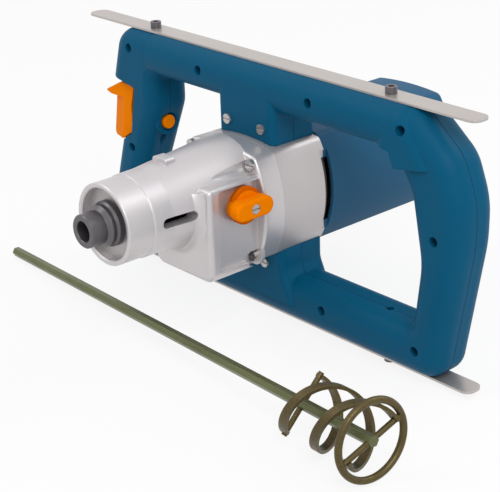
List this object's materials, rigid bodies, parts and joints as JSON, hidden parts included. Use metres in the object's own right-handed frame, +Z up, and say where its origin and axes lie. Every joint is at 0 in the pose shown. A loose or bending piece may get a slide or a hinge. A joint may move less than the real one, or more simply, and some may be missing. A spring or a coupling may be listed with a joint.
{
  "type": "mixing drill",
  "caption": "Mixing drill in a wide grip frame with trigger, lock button and guard bars: taper-socket spindle, gear case with speed selector, motor, and its loose mixing paddle.",
  "frame": {"origin": "centre of the spindle's socket mouth", "axes": "-Y out of the socket along the spindle, +X towards the closed grip, +Z up with the guard bars level"},
  "size_m": [0.5524, 0.39, 0.245],
  "materials": {
    "blue_plastic": "satin moulded",
    "orange_plastic": "satin moulded",
    "cast_aluminium": "fine blasted",
    "bar_steel": "zinc plated",
    "spindle_steel": "blackened",
    "screw_steel": "zinc plated",
    "gear_steel": "ground",
    "bearing_steel": "polished",
    "bush_bronze": "sintered",
    "seal_rubber": "matt",
    "lamination": "stacked sheet",
    "copper": "enamelled wire",
    "black_plastic": "moulded",
    "carbon": "pressed",
    "spring_steel": "drawn",
    "paddle_steel": "olive passivated"
  },
  "bodies": {
    "body": {"air_baffle": "black_plastic", "bar_nuts": "screw_steel", "bar_screws": "spindle_steel", "bearing_circlip": "screw_steel", "bearing_plate": "cast_aluminium", "bottom_bar": "bar_steel", "brush_caps": "black_plastic", "brush_holders": "bush_bronze", "brush_springs": "spring_steel", "button_spring": "spring_steel", "cable_gland": "black_plastic", "carbon_brushes": "carbon", "end_cap_screws": "screw_steel", "field_coils": "copper", "gear_case": "cast_aluminium", "gear_case_screws": "screw_steel", "handle_frame_front": "blue_plastic", "handle_frame_rear": "blue_plastic", "handle_screws": "spindle_steel", "layshaft_front_bush": "bush_bronze", "layshaft_rear_bush": "bush_bronze", "motor_end_cap": "blue_plastic", "motor_flange": "cast_aluminium", "motor_front_bearing": "bearing_steel", "motor_housing": "blue_plastic", "motor_rear_bearing": "bearing_steel", "panel_screws": "screw_steel", "spindle_front_bearing": "bearing_steel", "spindle_rear_bearing": "bearing_steel", "spindle_seal": "seal_rubber", "stator_core": "lamination", "switch_body": "black_plastic", "top_bar": "bar_steel", "trigger_spring": "spring_steel"},
    "armature": {"armature_shaft": "gear_steel", "armature_core": "lamination", "armature_windings": "copper", "commutator": "copper", "cooling_fan": "black_plastic"},
    "layshaft": {"layshaft": "gear_steel", "fast_pinion": "gear_steel", "layshaft_wheel": "gear_steel"},
    "spindle": {"spindle": "spindle_steel", "slow_gear": "gear_steel"},
    "fast_gear": {"fast_gear": "gear_steel"},
    "clutch_collar": {"clutch_collar": "gear_steel"},
    "selector": {"selector_knob": "orange_plastic", "selector_shaft": "gear_steel", "knob_screw": "screw_steel"},
    "trigger": {"trigger": "orange_plastic"},
    "lock_button": {"lock_button": "orange_plastic"},
    "paddle": {"paddle_rod": "paddle_steel", "paddle_blades": "paddle_steel", "paddle_prongs": "paddle_steel", "paddle_ring": "paddle_steel"}
  },
  "joints": [
    {"name": "motor_spin", "type": "hinge", "parent": "body", "child": "armature", "pos_m": [0, 0.286, -0.0135], "axis": [0, 1, 0], "continuous": true},
    {"name": "layshaft_spin", "type": "hinge", "parent": "body", "child": "layshaft", "pos_m": [0.02111, 0.14, -0.0319], "axis": [0, 1, 0], "continuous": true},
    {"name": "spindle_spin", "type": "hinge", "parent": "body", "child": "spindle", "pos_m": [0, 0.05, 0], "axis": [0, 1, 0], "continuous": true},
    {"name": "fast_gear_spin", "type": "hinge", "parent": "body", "child": "fast_gear", "pos_m": [0, 0.15, 0], "axis": [0, 1, 0], "continuous": true},
    {"name": "selector_turn", "type": "hinge", "parent": "body", "child": "selector", "pos_m": [0.05, 0.131, 0], "axis": [1, 0, 0], "range_deg": [0, 180]},
    {"name": "collar_shift", "type": "slide", "parent": "spindle", "child": "clutch_collar", "axis": [0, 1, 0], "range_m": [0, 0.008]},
    {"name": "trigger_pull", "type": "slide", "parent": "body", "child": "trigger", "axis": [1, 0, 0], "range_m": [0, 0.007], "stiffness_N_per_m": 900, "springref_m": -0.004, "deforming": ["trigger_spring"]},
    {"name": "lock_button_press", "type": "slide", "parent": "body", "child": "lock_button", "axis": [-1, 0, 0], "range_m": [0, 0.003], "stiffness_N_per_m": 500, "springref_m": -0.003, "deforming": ["button_spring"]},
    {"name": "paddle_pull", "type": "slide", "parent": "body", "child": "paddle", "axis": [0, -1, 0], "range_m": [0, 0.15]}
  ],
  "couplings": [
    {"joint": "layshaft_spin", "follows": "motor_spin", "ratio": -0.14286},
    {"joint": "spindle_spin", "follows": "motor_spin", "ratio": 0.030612},
    {"joint": "fast_gear_spin", "follows": "motor_spin", "ratio": 0.054054},
    {"joint": "selector_turn", "follows": "collar_shift", "rad_per_m": 392.69}
  ]
}
